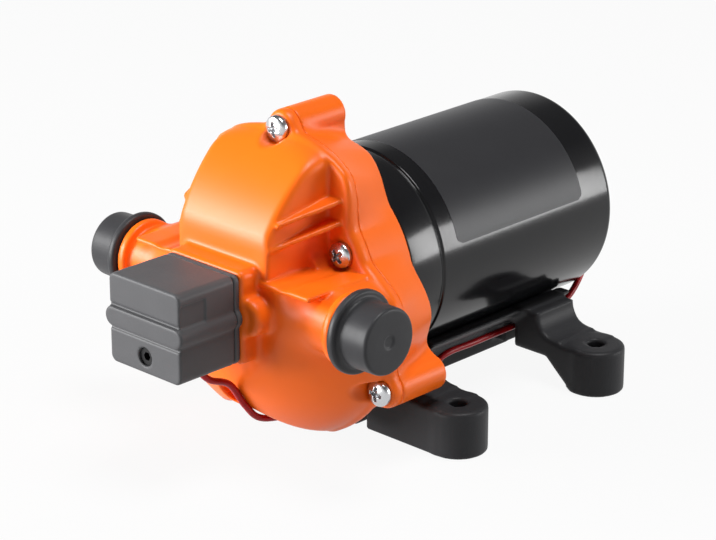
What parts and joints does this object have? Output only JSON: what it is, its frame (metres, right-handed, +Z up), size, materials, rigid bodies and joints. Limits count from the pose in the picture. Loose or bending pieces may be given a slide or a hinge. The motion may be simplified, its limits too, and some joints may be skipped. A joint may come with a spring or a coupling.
{
  "type": "caravan water pump",
  "caption": "Horizontal diaphragm water pump on a footed base: electric motor, lobed pump head with opposed capped ports, and a pressure switch on its front.",
  "frame": {"origin": "middle of the four mounting holes, on the surface that the feet stand on", "axes": "+Y along the pump axis from the pressure switch to the motor, +X towards the outlet port, +Z up"},
  "size_m": [0.134, 0.203, 0.1162],
  "materials": {
    "orange_housing": "moulded, satin gloss",
    "black_moulding": "moulded, fine texture",
    "black_cap": "soft moulded vinyl",
    "motor_enamel": "gloss black enamel",
    "zinc_screw": "zinc plated",
    "bearing_steel": "ground",
    "dark_iron": "laminated and sintered",
    "copper": "enamelled winding and bar copper",
    "brass": "stamped",
    "black_rubber": "moulded",
    "red_rubber": "moulded silicone",
    "carbon": "pressed carbon",
    "white_plastic": "moulded acetal",
    "brown_board": "pressed board",
    "red_wire": "extruded vinyl",
    "alloy": "die cast"
  },
  "bodies": {
    "chassis": {"upper_housing": "orange_housing", "drive_housing": "orange_housing", "housing_screws": "zinc_screw", "valve_plate": "white_plastic", "plate_seal": "black_rubber", "inlet_valves": "red_rubber", "outlet_valve": "red_rubber", "diaphragm": "black_rubber", "front_bell": "motor_enamel", "motor_can": "motor_enamel", "rear_cap": "motor_enamel", "through_bolts": "zinc_screw", "magnets": "dark_iron", "front_bearing_outer": "bearing_steel", "front_bearing_balls": "bearing_steel", "rear_bush": "brass", "brush_card": "brown_board", "brush_holders": "brass", "brush_springs": "zinc_screw", "switch_body": "black_moulding", "switch_plate": "black_moulding", "switch_screws": "zinc_screw", "switch_seal": "red_rubber", "range_spring": "zinc_screw", "microswitch": "black_moulding", "terminals": "brass", "lead_grommet": "black_rubber", "switch_lead": "red_wire", "rear_grommet": "black_rubber", "base_bracket": "black_moulding", "rubber_feet": "black_rubber", "bracket_screws": "zinc_screw"},
    "rotor": {"rotor_shaft": "bearing_steel", "armature_core": "dark_iron", "windings": "copper", "commutator": "copper", "front_bearing_inner": "bearing_steel", "eccentric_hub": "alloy", "hub_set_screw": "zinc_screw", "wobble_inner_ring": "bearing_steel"},
    "wobble": {"wobble_plate": "alloy", "wobble_outer_ring": "bearing_steel", "wobble_balls": "bearing_steel", "pistons": "white_plastic", "piston_screws": "zinc_screw"},
    "outlet_cap": {"outlet_cap": "black_cap"},
    "inlet_cap": {"inlet_cap": "black_cap"},
    "brush_right": {"brush_right": "carbon"},
    "brush_left": {"brush_left": "carbon"},
    "plunger": {"plunger": "white_plastic"},
    "microswitch_button": {"microswitch_button": "red_rubber"},
    "adjusting_screw": {"adjusting_screw": "zinc_screw"}
  },
  "joints": [
    {"name": "rotor_spin", "type": "hinge", "parent": "chassis", "child": "rotor", "pos_m": [0, 0, 0.055], "axis": [0, 1, 0], "continuous": true},
    {"name": "wobble_nutation", "type": "hinge", "parent": "rotor", "child": "wobble", "pos_m": [0, -0.05661, 0.055], "axis": [0, 0.9945, 0.1045], "continuous": true},
    {"name": "outlet_cap_pull", "type": "slide", "parent": "chassis", "child": "outlet_cap", "axis": [1, 0, 0], "range_m": [0, 0.03]},
    {"name": "inlet_cap_pull", "type": "slide", "parent": "chassis", "child": "inlet_cap", "axis": [-1, 0, 0], "range_m": [0, 0.03]},
    {"name": "brush_right_slide", "type": "slide", "parent": "chassis", "child": "brush_right", "axis": [1, 0, 0], "range_m": [0, 0.003], "stiffness_N_per_m": 60, "deforming": ["brush_springs"]},
    {"name": "brush_left_slide", "type": "slide", "parent": "chassis", "child": "brush_left", "axis": [-1, 0, 0], "range_m": [0, 0.003], "stiffness_N_per_m": 60, "deforming": ["brush_springs"]},
    {"name": "plunger_slide", "type": "slide", "parent": "chassis", "child": "plunger", "axis": [0, -1, 0], "range_m": [0, 0.0008], "stiffness_N_per_m": 300, "deforming": ["range_spring"]},
    {"name": "button_slide", "type": "slide", "parent": "chassis", "child": "microswitch_button", "axis": [0, -1, 0], "range_m": [0, 0.0008]},
    {"name": "adjusting_turn", "type": "hinge", "parent": "chassis", "child": "adjusting_screw", "pos_m": [0, -0.125, 0.0454], "axis": [0, 1, 0], "range_deg": [-180, 180]}
  ],
  "couplings": [
    {"joint": "wobble_nutation", "follows": "rotor_spin", "ratio": -1},
    {"joint": "button_slide", "follows": "plunger_slide", "ratio": 1}
  ]
}
